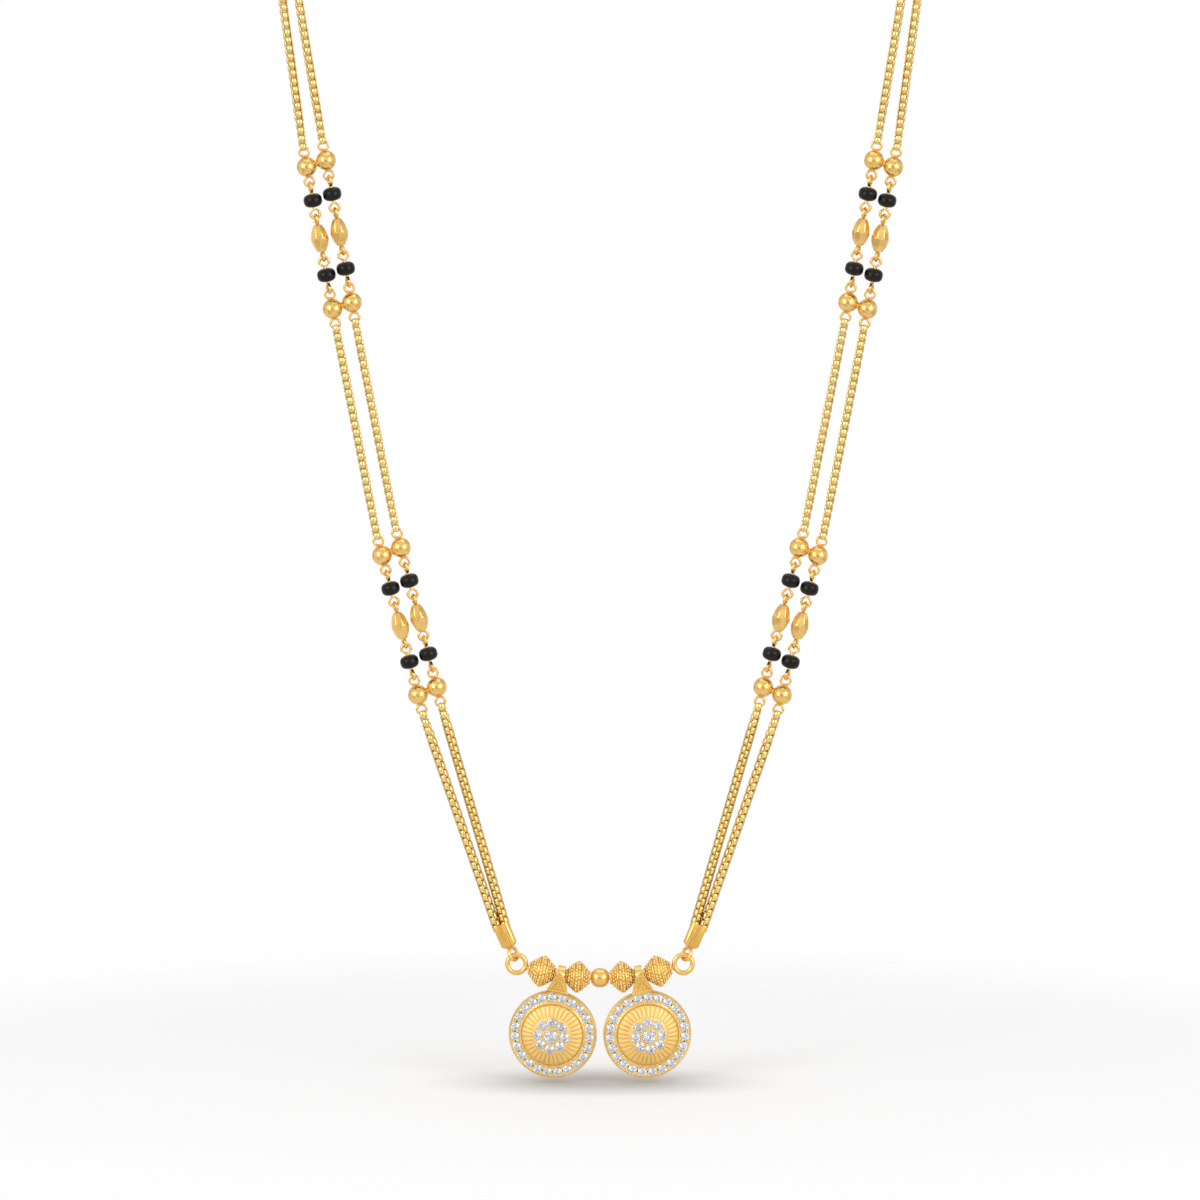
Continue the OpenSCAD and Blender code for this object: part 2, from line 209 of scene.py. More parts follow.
def copied(pattern, name, spots=(Matrix.Identity(4),)):  # copies with their own mesh, joined into one
    deselectAll()
    made = []
    for spot in spots:
        copy = pattern.copy()
        copy.data = pattern.data.copy()
        copy.matrix_world = spot
        bpy.context.collection.objects.link(copy)
        copy.select_set(True)
        made.append(copy)
    bpy.context.view_layer.objects.active = made[0]
    if len(made) > 1:
        bpy.ops.object.join()
    applyPlace()
    return named(name)


def joined(name, *pieces):
    deselectAll()
    for piece in pieces:
        piece.select_set(True)
    bpy.context.view_layer.objects.active = pieces[0]
    bpy.ops.object.join()
    return named(name)


def dropped(*patterns):
    for pattern in patterns:
        bpy.data.objects.remove(pattern)


def settled(piece, place, body, slot, *replaced):  # puts a finished piece's place into its mesh
    piece.data.transform(toMetres @ place)
    if place.determinant() < 0:
        piece.data.flip_normals()
    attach(piece, body)
    if replaced:
        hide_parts(*replaced)
    return piece


# finishes, each named for its material and how the surface was made, or for the shade or highlight painted
# into it
def hexColour(code):  # sRGB hex to linear
    parts = [int(code[i:i + 2], 16) / 255 for i in (1, 3, 5)]
    return tuple(p / 12.92 if p <= 0.04045 else ((p + 0.055) / 1.055) ** 2.4 for p in parts) + (1,)


def addNode(material, kind, values=None, links=None, **settings):  # a node, its sockets and its links
    node = material.node_tree.nodes.new(kind)
    for name, value in settings.items():
        setattr(node, name, value)
    for name, value in (values or {}).items():
        node.inputs[name].default_value = value
    for name, socket in (links or {}).items():
        material.node_tree.links.new(socket, node.inputs[name])
    return node


def surface(name, values):  # a new material and its shader
    material = bpy.data.materials.new(name)
    material.use_nodes = True
    shader = material.node_tree.nodes["Principled BSDF"]
    for socket, value in values.items():
        shader.inputs[socket].default_value = value
    return material, shader


goldNoise = {"patch": 2.5, "from": 0.3, "to": 0.7}  # the tone's patches in mm, and a noise's usual range


def goldFinish(name, tones, rough, grain, dent):  # two tones, range of roughness, grain and bump in mm
    material, shader = surface(name, {"Metallic": 1.0})
    link = material.node_tree.links.new
    where = addNode(material, "ShaderNodeTexCoord").outputs["Object"]
    patches = addNode(
        material, "ShaderNodeTexNoise", {"Scale": 1000 / goldNoise["patch"], "Detail": 2.0},
        {"Vector": where},
    )
    fine = addNode(
        material, "ShaderNodeTexNoise", {"Scale": 1000 / grain, "Detail": 3.0}, {"Vector": where}
    )
    tone = addNode(
        material, "ShaderNodeMix", {6: hexColour(tones[0]), 7: hexColour(tones[1])},
        {0: patches.outputs["Fac"]}, data_type="RGBA",
    )
    wear = addNode(
        material, "ShaderNodeMapRange",
        {"From Min": goldNoise["from"], "From Max": goldNoise["to"], "To Min": rough[0], "To Max": rough[1]},
        {"Value": fine.outputs["Fac"]},
    )
    bump = addNode(
        material, "ShaderNodeBump", {"Strength": 1.0, "Distance": dent / 1000},
        {"Height": fine.outputs["Fac"]},
    )
    link(tone.outputs[2], shader.inputs["Base Color"])
    link(wear.outputs["Result"], shader.inputs["Roughness"])
    link(bump.outputs["Normal"], shader.inputs["Normal"])
    return material


def unevenGloss(material, shader, grain, detail, rough):  # roughness that varies, with its grain in mm
    where = addNode(material, "ShaderNodeTexCoord").outputs["Object"]
    fine = addNode(
        material, "ShaderNodeTexNoise", {"Scale": 1000 / grain, "Detail": detail}, {"Vector": where}
    )
    gloss = addNode(
        material, "ShaderNodeMapRange", {"To Min": rough[0], "To Max": rough[1]},
        {"Value": fine.outputs["Fac"]},
    )
    material.node_tree.links.new(gloss.outputs["Result"], shader.inputs["Roughness"])
    return fine


def blackGlass():  # pressed glass, fire polished: deep black beads with one soft, slightly wavy highlight
    material, shader = surface("firePolishedBlackGlass", {
        "Base Color": hexColour("#130F0B"), "IOR": 1.52, "Specular IOR Level": 0.2,
    })
    waves = unevenGloss(material, shader, grain=1.1, detail=1.0, rough=(0.16, 0.30))
    bump = addNode(
        material, "ShaderNodeBump", {"Strength": 1.0, "Distance": 0.02 / 1000},
        {"Height": waves.outputs["Fac"]},
    )
    material.node_tree.links.new(bump.outputs["Normal"], shader.inputs["Normal"])
    return material


def cutZirconia():  # cut and polished cubic zirconia: colourless crowns that flash white and grey
    material, shader = surface("polishedCubicZirconia", {
        "Base Color": hexColour("#FFFFFF"), "IOR": 2.15, "Transmission Weight": 1.0,
    })
    unevenGloss(material, shader, grain=0.6, detail=1.0, rough=(0.0, 0.04))
    return material


def silverFoil():  # silvered back of a foiled stone: a thin wrinkled mirror that makes the stone bright
    material, shader = surface("silveredStoneBack", {"Base Color": hexColour("#E8E9ED"), "Metallic": 1.0})
    unevenGloss(material, shader, grain=0.3, detail=2.0, rough=(0.03, 0.12))
    return material


finishes = {  # 22 carat gold plate on brass, as each part of the work leaves it, with shade and highlights painted into some
    # tumbled bright: smooth yellow gold with soft, broad highlights on balls, ovals and rims
    "brightGold": goldFinish("brightGoldPlate", ("#EFC67B", "#EABE6D"), (0.22, 0.28), 0.9, 0.0005),
    # drawn through a plate: a little duller, with a fine unevenness along eyes, pins and loops
    "wireGold": goldFinish("drawnGoldWire", ("#F2CA7E", "#EBBF6E"), (0.26, 0.36), 0.5, 0.003),
    # stamped and tumbled: the pale bright outsides of the chain's links
    "linkGold": goldFinish("stampedGoldLink", ("#F3D68E", "#EAC87A"), (0.2, 0.3), 0.5, 0.002),
    # painted shade: the darker gold seen between the links, put on their inner faces
    "linkInsideShade": goldFinish("goldLinkInsidePaintedShade", ("#C69A48", "#B2873A"), (0.36, 0.5), 0.3, 0.004),
    # melted granules, fine wires and the ring's ground: pale gold; on granules and wires the paleness is a
    # painted highlight, pale points of light
    "paleGoldGrainHighlight": goldFinish("paleGoldPaintedGrainHighlight", ("#FBE09A", "#F3D07E"), (0.22, 0.32), 0.4, 0.003),
    # painted shade: rough, deeper gold for the ground between granules and for the stone seats, so that
    # granules and stones stand out
    "recessShadeGold": goldFinish("goldRecessPaintedShade", ("#DFB060", "#CE9A46"), (0.34, 0.48), 0.3, 0.02),
    # painted shade in the pits: dark brown dots between the stones
    "pitShade": goldFinish("goldPitPaintedShade", ("#6E4A24", "#5A3A1C"), (0.5, 0.6), 0.3, 0.01),
    # blasted satin: the even, pale, matt gold of the fluted dish; a real one's grain is too fine to show
    "satinGold": goldFinish("satinGoldPlate", ("#F0D08D", "#EAC77E"), (0.48, 0.58), 0.12, 0.004),
    # brushed: the dull, deeper fields of end caps and bails, with coarser scratches than the real ones
    "brushedGold": goldFinish("brushedGoldPlate", ("#E4B866", "#DAAA56"), (0.36, 0.46), 0.15, 0.006),
    "blackGlass": blackGlass(),
    "zirconia": cutZirconia(),
    "foil": silverFoil(),
}
for nodeName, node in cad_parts.items():
    coated(node, "wireGold" if nodeName == "bar_wire" else "brightGold")
print("finishes made:", len(finishes))


# box chain: a stamped square link, every second one turned a quarter
boxChain = {
    "wide": 1.24, "deep": 0.84, "long": 1.14, "strip": 0.16, "corner": 0.16, "swell": 0.03,
    "pitch": 0.625, "hook": 0.19, "intoCap": 0.25, "twistOver": 8,  # links over which the twist comes in
    "twist": {"lower": {"outer": 28, "inner": 42}, "middle": {"outer": 8, "inner": 8},
              "upper": {"outer": -17, "inner": -17}},
}


def boxLink():  # an open square strip whose sides swell a little, with painted shade on its inner faces
    wide, deep, long, swell = (boxChain[k] for k in ("wide", "deep", "long", "swell"))

    def runsDeep(middle, edge):  # from the open front to the open back
        return abs(edge.verts[0].co.y - edge.verts[1].co.y) > deep / 2

    deselectAll()
    bpy.ops.mesh.primitive_cube_add(size=1)
    link = named("boxLink")
    openEdit(link)
    bpy.ops.transform.resize(value=(wide - 2 * swell, deep, long - 2 * swell), center_override=(0, 0, 0))
    pick("EDGE", runsDeep)
    bpy.ops.mesh.bevel(offset=boxChain["corner"], segments=1)
    pick("FACE", lambda middle, face: abs(middle.y) > deep / 4)
    bpy.ops.mesh.delete(type="FACE")
    pick("EDGE", runsDeep)
    bpy.ops.mesh.subdivide(number_cuts=1)
    pick("VERT", lambda middle, vert: abs(middle.y) < deep / 4)
    bpy.ops.transform.resize(
        value=(wide / (wide - 2 * swell), 1, long / (long - 2 * swell)), center_override=(0, 0, 0)
    )
    closeEdit()
    applied(link, "SOLIDIFY", thickness=boxChain["strip"], offset=-1)
    smoothed(link, "link", "linkGold", "linkInsideShade")
    # faces that point into the link take the painted shade of the gaps between links
    for face in link.data.polygons:
        if face.normal.dot(face.center) < 0:
            face.material_index = 1
    return link


def spline(a, b, c, d, t):  # smooth way from b to c
    square, cube = 2 * a - 5 * b + 4 * c - d, 3 * b - a - 3 * c + d
    return (2 * b + (c - a) * t + square * t * t + cube * t * t * t) / 2


def strandWay(run, row):  # points from the pendants' end of a chain run to its neck end
    if run == "lower":
        side = hang["strandHalf"] * (1 if row == "outer" else -1)
        foot = (capPlace() @ shift(side, 0, hang["capTop"] + hang["linkGap"])).translation
        return [foot, stationPlace("lower", row, -hang["stationEnd"]).translation]
    if run == "middle":
        return [stationPlace("lower", row, hang["stationEnd"]).translation,
                stationPlace("upper", row, -hang["stationEnd"]).translation]
    way = 1 if row == "outer" else -1
    points = [stationPlace("upper", row, hang["stationEnd"]).translation]
    for x, y, z, space, roll in shoulderWay:
        outward = Vector((x, max(y, 0), 0)).normalized() * math.cos(math.radians(roll))
        down = Vector((0, 0, math.sin(math.radians(roll))))
        points.append(Vector((x, y, z)) + way * space / 2 * (outward - down))
    rearFoot = rearCapPlace() @ shift(way * hang["strandHalf"], 0, hang["capTop"] + hang["linkGap"])
    points.append(rearFoot.translation)
    last, fine = len(points) - 1, 16
    return [spline(points[max(i - 1, 0)], points[i], points[i + 1], points[min(i + 2, last)], k / fine)
            for i in range(last) for k in range(fine)] + [points[last]]


def linkSpots(run, row):  # each link's place, at even steps along its strand
    points = strandWay(run, row)
    startExtra = boxChain["intoCap"] if run == "lower" else boxChain["hook"]
    endExtra = boxChain["intoCap"] if run == "upper" else boxChain["hook"]
    points[0] = points[0] + (points[0] - points[1]).normalized() * startExtra
    points[-1] = points[-1] + (points[-1] - points[-2]).normalized() * endExtra
    lengths = [0]
    for a, b in zip(points, points[1:]):
        lengths.append(lengths[-1] + (b - a).length)
    steps = 2 * round(lengths[-1] / boxChain["pitch"] / 2)  # even, so that both end links lie the same way
    hooked = 0 if run != "lower" else steps  # the link that goes through a ball's eye
    side, segment, spots = Vector((1, 0, 0)), 0, []
    for k in range(steps + 1):
        at = lengths[-1] * k / steps
        while segment < len(points) - 2 and lengths[segment + 1] < at:
            segment += 1
        a, b = points[segment], points[segment + 1]
        spot = a + (b - a) * ((at - lengths[segment]) / (lengths[segment + 1] - lengths[segment]))
        along = (b - a).normalized()
        side = (side - side.dot(along) * along).normalized()
        across = along.cross(side)
        away = min(abs(k - hooked), abs(k - (steps if run == "middle" else hooked)))
        twist = boxChain["twist"][run][row] * min(1, away / boxChain["twistOver"])
        roll = 90 * (1 - abs(k - hooked) % 2) + twist
        axes = Matrix((side, across, along)).transposed().to_4x4()
        spots.append(Matrix.Translation(spot) @ axes @ turn(roll, "Z"))
    return spots


link = boxLink()
linkCount = 0
for run in ("upper", "middle", "lower"):
    for row in rows:
        spots = linkSpots(run, row)
        for side in sides:
            chain = copied(link, f"box_chain_{run}_{row}_{side}", spots)
            settled(chain, sideTurn[side], "necklace", "chain", f"chain_{run}_{row}_{side}")
            linkCount += len(spots)
dropped(link)
print("box chain links:", linkCount)


# wire eyes, faceted oval beads and the pins through the black beads
wireEye = {
    "radius": 0.7, "wire": 0.46, "stem": 0.54, "stemHalf": 1.42, "stemAround": 12,
    "pinch": 0.87, "pinchFrom": 0.33, "pinchStep": 0.1, "pinchSteps": 10, "stretch": 0.22,
    "edgeOn": 72,  # how far the eyes that are seen from their edge are turned from facing the front
}
ovalBead = {
    "sides": 8, "half": ((1.35, 0.24), (1.174, 1.0), (0.96, 1.5), (0.64, 2.02)), "below": 0.08,
    "eye": 2.8, "flatWithin": 2, "soften": 0.05, "softenFrom": 20,
}


def pinchedEye():  # ring whose hole faces the front, and which narrows upwards to its stem
    radius, wire, steps = wireEye["radius"], wireEye["wire"] / 2, wireEye["pinchSteps"]
    upright = (math.radians(90), 0, 0)
    ring = wireRing("pinchedEye", radius, wire, around=40, section=10, rotation=upright)
    openEdit(ring)
    for step in range(steps):
        pick("VERT", lambda middle, vert: middle.z > wireEye["pinchFrom"] + wireEye["pinchStep"] * step)
        bpy.ops.transform.resize(value=(wireEye["pinch"], 1, 1), center_override=(0, 0, 0))
        bpy.ops.transform.translate(value=(0, 0, wireEye["stretch"] / steps))
    closeEdit()
    return smoothed(ring, "wire", "wireGold")


def facetedOval():  # two turned halves, half a facet apart, drawn together by their hull
    half = turned("ovalHalf", ovalBead["sides"], ovalBead["half"])
    girdle = shift(0, 0, -ovalBead["below"])
    halves = [girdle @ turn(180 / ovalBead["sides"], "Z"), girdle @ turn(180, "X")]
    bead = copied(half, "facetedOval", halves)
    dropped(half)
    openEdit(bead)
    bpy.ops.mesh.convex_hull()
    bpy.ops.mesh.dissolve_limited(angle_limit=math.radians(ovalBead["flatWithin"]))
    closeEdit()
    bevelled(bead, ovalBead, segments=1)
    return smoothed(bead, "oval", "brightGold")


wireLoop, oval = pinchedEye(), facetedOval()
for station in hang["stations"]:
    for row in rows:
        footTurn = 0 if station == "lower" and row == "inner" else wireEye["edgeOn"]
        eyes = copied(wireLoop, "ovalEyes", [
            shift(0, 0, ovalBead["eye"]) @ turn(wireEye["edgeOn"], "Z") @ turn(180, "X"),
            shift(0, 0, -ovalBead["eye"]) @ turn(footTurn, "Z"),
        ])
        bead = joined("ovalWithEyes", copied(oval, "oval"), eyes)
        for side in sides:
            name = f"oval_bead_{station}_{row}_{side}"
            place = sideTurn[side] @ stationPlace(station, row, 0)
            settled(copied(bead, f"faceted_{name}"), place, "necklace", "gold_bead", name)
        dropped(bead)

blackBead = {  # pressed, with a flat-shouldered side
    "wide": 2.8, "long": 2.05, "bore": 0.7, "square": 2.7, "lip": 0.08, "chamfer": 0.06, "levels": 8,
    "around": 40,
}


def blackBeadPattern():  # squarish ring with flat ends round its bore
    wide, long, square = blackBead["wide"] / 2, blackBead["long"] / 2, blackBead["square"]
    bore, chamfer, levels = blackBead["bore"] / 2, blackBead["chamfer"], blackBead["levels"]
    end = long * (1 - (bore / wide + blackBead["lip"]) ** square) ** (1 / square)
    profile = [(bore, chamfer - end)]
    for k in range(-levels, levels + 1):
        z = end * math.sin(math.radians(90 * k / levels))
        profile.append((wide * (1 - abs(z / long) ** square) ** (1 / square), z))
    profile.append((bore, end - chamfer))
    bead = turned("blackBead", blackBead["around"], profile, bored=True)
    return smoothed(bead, "turned", "blackGlass")


blackPattern = blackBeadPattern()
for side in sides:
    for station in hang["stations"]:
        for row in rows:
            for end in ends:
                height = hang["blackAt"] * (1 if end == "top" else -1)
                name = f"black_bead_{station}_{row}_{end}_{side}"
                place = sideTurn[side] @ stationPlace(station, row, height)
                settled(copied(blackPattern, f"pressed_{name}"), place, "necklace", "black_bead", name)
dropped(blackPattern)

stem = turned("stem", wireEye["stemAround"],
              [(wireEye["stem"] / 2, z) for z in (-wireEye["stemHalf"], wireEye["stemHalf"])])
smoothed(stem, "turned", "wireGold")
pinSpots, ringSpots = [], []
for side in sides:
    for station in hang["stations"]:
        for row in rows:
            for end in ends:
                up = 1 if end == "top" else -1
                place = sideTurn[side] @ stationPlace(station, row, up * hang["blackAt"])
                pinSpots.append(place)
                towardsOval = wireEye["edgeOn"] if (station, row, end) == ("lower", "inner", "foot") else 0
                for way, facing in ((-up, towardsOval), (up, wireEye["edgeOn"])):
                    upright = turn(0, "X") if way < 0 else turn(180, "X")
                    eye = shift(0, 0, way * hang["blackEye"]) @ turn(facing, "Z") @ upright
                    ringSpots.append(place @ eye)
pins = joined("bead_pins", copied(stem, "stems", pinSpots), copied(wireLoop, "pinEyes", ringSpots))
openEdit(pins)
closeOutwards()
settled(pins, Matrix.Identity(4), "necklace", "gold_wire", "black_bead_pins")
dropped(stem, wireLoop, oval)
print("oval beads and pins made")


# bar beads: granulated bicones and a plain barrel between them
bicone = {
    "outer": {"length": 4.15, "at": "outerBiconeAt"}, "inner": {"length": 3.8, "at": "innerBiconeAt"},
    "wide": 4.9, "end": 1.75, "round": 1.3, "sunk": 0.1, "bore": 0.5, "levels": 8, "endRoom": 0.06,
    "band": 0.64, "bandWire": 0.1, "bandSunk": 0.03, "collar": 0.1, "around": 48, "collarAround": 36,
    "grain": 0.23, "grainFlat": 0.6, "grainStep": 0.53, "beltRows": (-0.28, 0.28),
    "coneRows": (1.0, 1.37, 1.73), "rowRoom": 0.12, "jitter": 0.05, "shake": 0.15, "sizes": (0.82, 1.08),
    "fineFrom": 1.5, "fine": 0.78,  # the end rows are finer, so that the bails swing clear of them
    "seed": 11,
}
barBarrel = {"wide": 2.95, "length": 2.6, "curve": 2.2, "reach": 1.5, "levels": 9, "around": 64}
granuleCut = -0.6  # height of a granule's flat side, as a share of its radius


def granule(size):  # low ball that stands on the surface, flat side inwards
    deselectAll()
    bpy.ops.mesh.primitive_uv_sphere_add(segments=8, ring_count=6, radius=size)
    grain = named("granule")
    openEdit(grain)
    pick("VERT", lambda middle, vert: middle.z < granuleCut * size)
    bpy.ops.mesh.delete(type="VERT")
    closeEdit()
    # granules are paler gold than the ground, a painted highlight
    return smoothed(grain, "granule", "paleGoldGrainHighlight")


def coneRadius(length, z):  # a bicone's outer radius at a place along its axis
    share = (2 * abs(z) / length) ** bicone["round"]
    return bicone["wide"] / 2 + share * (bicone["end"] - bicone["wide"]) / 2


def granulePlace(length, angle, z, size):  # a granule's place on the cone, facing out
    near = 0.05
    fall = coneRadius(length, z - near) - coneRadius(length, z + near)
    slope = math.degrees(math.atan(fall / (2 * near)))
    flat = Matrix.Diagonal((size, size, size * bicone["grainFlat"], 1))
    surfacePlace = turn(angle, "Z") @ shift(coneRadius(length, z), 0, z) @ turn(90 - slope, "Y")
    return surfacePlace @ shift(0, 0, -bicone["sunk"]) @ flat


def granulatedBicone(kind):
    length, levels, collar = bicone[kind]["length"], bicone["levels"], bicone["collar"]
    heights = [(length / 2 - bicone["endRoom"]) * k / levels for k in range(-levels, levels + 1)]
    profile = [(coneRadius(length, z) - bicone["sunk"], z) for z in heights]
    profile = [(bicone["bore"], heights[0])] + profile + [(bicone["bore"], heights[-1])]
    body = turned("biconeBody", bicone["around"], profile, bored=True)
    # the body between the granules is darker gold, painted shade
    smoothed(body, "barBead", "recessShadeGold")
    wires = [(z, bicone["bandSunk"], bicone["bandWire"], bicone["around"])
             for z in (-bicone["band"], bicone["band"])]
    wires += [(z, collar, collar, bicone["collarAround"])
              for z in (-length / 2 + collar, length / 2 - collar)]
    bands = []
    for z, inwards, wire, around in wires:
        radius = coneRadius(length, z) - inwards
        band = wireRing("band", radius, wire, around, section=8, location=(0, 0, z))
        # the raised bands are pale gold, a painted highlight
        bands.append(smoothed(band, "wire", "paleGoldGrainHighlight"))
    chance = random.Random(bicone["seed"])
    grainRows = list(bicone["beltRows"]) + [half * z for half in (-1, 1) for z in bicone["coneRows"]
                                            if z < length / 2 - bicone["rowRoom"]]
    shake, spots = bicone["shake"], []
    for rowIndex, z in enumerate(grainRows):
        count = int(2 * math.pi * coneRadius(length, z) / bicone["grainStep"])
        fine = bicone["fine"] if abs(z) > bicone["fineFrom"] else 1
        for k in range(count):
            angle = (k + rowIndex % 2 / 2 + chance.uniform(-shake, shake)) * 360 / count
            height = z + chance.uniform(-1, 1) * bicone["jitter"]
            spots.append(granulePlace(length, angle, height, chance.uniform(*bicone["sizes"]) * fine))
    grain = granule(bicone["grain"])
    grains = copied(grain, "grains", spots)
    dropped(grain)
    return joined("granulatedBicone", body, grains, *bands)


for kind in rows:
    bead = granulatedBicone(kind)
    for side in sides:
        name = f"{kind}_bicone_{side}"
        place = sideTurn[side] @ barPlace(hang[bicone[kind]["at"]]) @ turn(90, "Y")
        settled(copied(bead, f"granulated_{name}"), place, "necklace", "filigree_bead", name)
    dropped(bead)


def barBall():  # plain barrel, flattened a little towards its ends
    levels, curve, profile = barBarrel["levels"], barBarrel["curve"], []
    for k in range(-levels, levels + 1):
        z = barBarrel["length"] / 2 * math.sin(math.radians(90 * k / levels))
        share = abs(z) / barBarrel["reach"]
        profile.append((barBarrel["wide"] / 2 * (1 - share ** curve) ** (1 / curve), z))
    profile = [(bicone["bore"], profile[0][1])] + profile + [(bicone["bore"], profile[-1][1])]
    ball = turned("polished_bar_ball", barBarrel["around"], profile, bored=True)
    return smoothed(ball, "barBead", "brightGold")


settled(barBall(), barPlace(0) @ turn(90, "Y"), "necklace", "gold_bead", "bar_ball")
print("bar beads made")


# end caps: a flat brushed face with a rounded inner side, and a wire loop
endCap = {
    "outline": ((-1.25, -0.35), (-1.2, -0.6), (-1.08, -0.77), (-0.88, -0.85), (0.22, -0.85), (0.3, -0.68),
                (0.38, -0.8), (0.56, -0.85), (0.8, -0.82), (1.0, -0.7), (1.15, -0.48), (1.23, -0.2),
                (1.25, 0.0), (1.18, 0.4), (0.9, 0.85), (-0.9, 0.85), (-1.25, 0.5)),
    "foot": 1.12, "top": 4.92, "soften": 0.03, "softenFrom": 40,
    "loop": 0.95, "loopWire": 0.56, "loopTurn": -36, "wall": 0.14, "socket": 0.35,
    "facing": 0.8, "brushedTo": 0.24,  # where the brushed face is
    # the rounded shoulder, as height and shares of the width and depth
    "shoulder": ((0, 0.45, 0.6), (0.14, 0.74, 0.82), (0.34, 0.93, 0.95), (0.6, 1, 1)),
}


def endCapPiece():  # the outline raised to a cap with a socket for the chains, and its wire loop
    deselectAll()
    bpy.ops.mesh.primitive_circle_add(vertices=len(endCap["outline"]), radius=1, fill_type="NGON")
    cap = named("endCap")
    for vert, (x, y) in zip(cap.data.vertices, endCap["outline"]):
        vert.co = (x, y, 0)
    openEdit(cap)
    bpy.ops.transform.translate(value=(0, 0, endCap["foot"]))
    wide, deep, height = 1, 1, 0
    for up, growWide, growDeep in endCap["shoulder"]:
        if up:
            bpy.ops.mesh.extrude_region_move(TRANSFORM_OT_translate={"value": (0, 0, up - height)})
        bpy.ops.transform.resize(value=(growWide / wide, growDeep / deep, 1), center_override=(0, 0, 0))
        wide, deep, height = growWide, growDeep, up
    rest = endCap["top"] - endCap["foot"] - height
    bpy.ops.mesh.extrude_region_move(TRANSFORM_OT_translate={"value": (0, 0, rest)})
    bpy.ops.mesh.inset(thickness=endCap["wall"])
    bpy.ops.mesh.extrude_region_move(TRANSFORM_OT_translate={"value": (0, 0, -endCap["socket"])})
    closeOutwards()
    bevelled(cap, endCap)
    smoothed(cap, "sheet", "brightGold", "brushedGold")
    for face in cap.data.polygons:
        if face.normal.y < -endCap["facing"] and face.center.x < endCap["brushedTo"]:
            face.material_index = 1
    facing = (0, math.radians(90), math.radians(endCap["loopTurn"]))
    radius, wire = endCap["loop"], endCap["loopWire"] / 2
    loop = wireRing("capLoop", radius, wire, around=40, section=12, rotation=facing)
    return joined("capWithLoop", cap, smoothed(loop, "wire", "wireGold"))


cap = endCapPiece()
inwards = Matrix.Diagonal((-1, 1, 1, 1))  # turns the outline's rounded side to the necklace's middle
for side in sides:
    for where, place in (("front", capPlace()), ("rear", rearCapPlace())):
        settled(copied(cap, f"end_cap_{where}_{side}"), sideTurn[side] @ place @ inwards,
                "necklace", "end_fitting", f"{where}_cap_{side}")
dropped(cap)
print("end caps made")


# vati pendants: strap bail, fluted dome, stone ring and flower
vati = {
    "lean": 6.5, "turn": 6, "faceTurn": 2, "faceTilt": 4, "grow": 1.02,
    "outwards": 0.1, "set": 0.985, "drop": 9.06,  # the disc's middle from the hinge
    "around": 216, "flutes": 36, "fluteDepth": 0.13, "fluteCrown": 0.04, "near": 0.03, "frontFrom": 1.3,
    # profile from the middle of the back to the middle of the front, as radius and height
    "back": ((0.05, 1.65), (2.28, 1.65), (3.49, 0.9), (4.28, 0.0), (6.33, 0.0), (6.45, 0.05), (6.5, 0.17)),
    "rim": ((6.5, 1.22), (6.46, 1.33), (6.39, 1.38), (6.32, 1.38), (6.26, 1.32), (6.25, 1.2)),
    "channel": ((4.92, 1.2), (4.9, 1.3), (4.8, 1.36), (4.68, 1.34), (4.62, 1.28)),
    "flute": ((4.56, 1.33), (4.5, 1.6), (4.42, 1.7), (4.15, 1.83), (3.85, 1.96), (3.5, 2.09), (3.2, 2.2),
              (2.98, 2.27)),
    "plateau": ((2.9, 2.27), (2.84, 2.36), (2.76, 2.4), (1.4, 2.6), (0.05, 2.78)),
    "satin": (1.1, 4.6), "ground": (1.7, 6.3), "facing": 0.5,  # height and radius that bound two finishes
    "milgrain": 84, "milgrainSize": 0.13, "milgrainAt": (4.74, 1.34),
}
stoneSet = {
    "small": 1.34, "petal": 1.4, "centre": 2.0, "ringAt": 5.6, "ringCount": 23, "ringTurn": -6.2,
    "ringHeight": 1.3, "flowerAt": 2.0, "flowerCount": 8, "crownHeight": 2.8, "slope": 9, "play": 0.02,
    "ringStep": 37, "flowerStep": 29,  # degrees from one stone to the next, so that they flash differently
    "seat": ((0.02, -0.45), (0.5, -0.02), (0.5, 0.6)), "pit": ((0.09, 1.0), (0.15, 1.3), (0.15, 1.7)),
    "seatAround": 24, "pitAround": 10,
    "bead": 0.17, "ringProngs": (0.46, 1.36), "flowerProngs": ((1.22, 2.72), (2.5, 2.5)),
}
pendantPlace = Matrix.Translation(barPlace(hang["bailAt"]).translation) @ turn(-vati["lean"], "Y")
faceSpot = turn(vati["turn"], "Z") @ shift(vati["outwards"], vati["set"], -vati["drop"])
faceTurned = faceSpot @ turn(vati["faceTurn"], "Z") @ turn(90 + vati["faceTilt"], "X")
facePlace = faceTurned @ Matrix.Scale(vati["grow"], 4)


def ringAngle(k):  # a whole k is a stone of the ring, and a half is the space after it
    return stoneSet["ringTurn"] + k * 360 / stoneSet["ringCount"]


def stoneSpots():  # each stone's place on the disc with its diameter: ring, flower, then centre
    spots = []
    for k in range(stoneSet["ringCount"]):
        spot = turn(ringAngle(k), "Z") @ shift(0, stoneSet["ringAt"], stoneSet["ringHeight"])
        spots.append((spot @ turn(k * stoneSet["ringStep"], "Z"), stoneSet["small"]))
    rise = stoneSet["crownHeight"] - stoneSet["flowerAt"] * math.tan(math.radians(stoneSet["slope"]))
    for k in range(stoneSet["flowerCount"]):
        spot = turn(k * 360 / stoneSet["flowerCount"], "Z") @ shift(0, stoneSet["flowerAt"], rise)
        leaning = spot @ turn(-stoneSet["slope"], "X")
        spots.append((leaning @ turn(k * stoneSet["flowerStep"], "Z"), stoneSet["petal"]))
    spots.append((shift(0, 0, stoneSet["crownHeight"]), stoneSet["centre"]))
    return spots


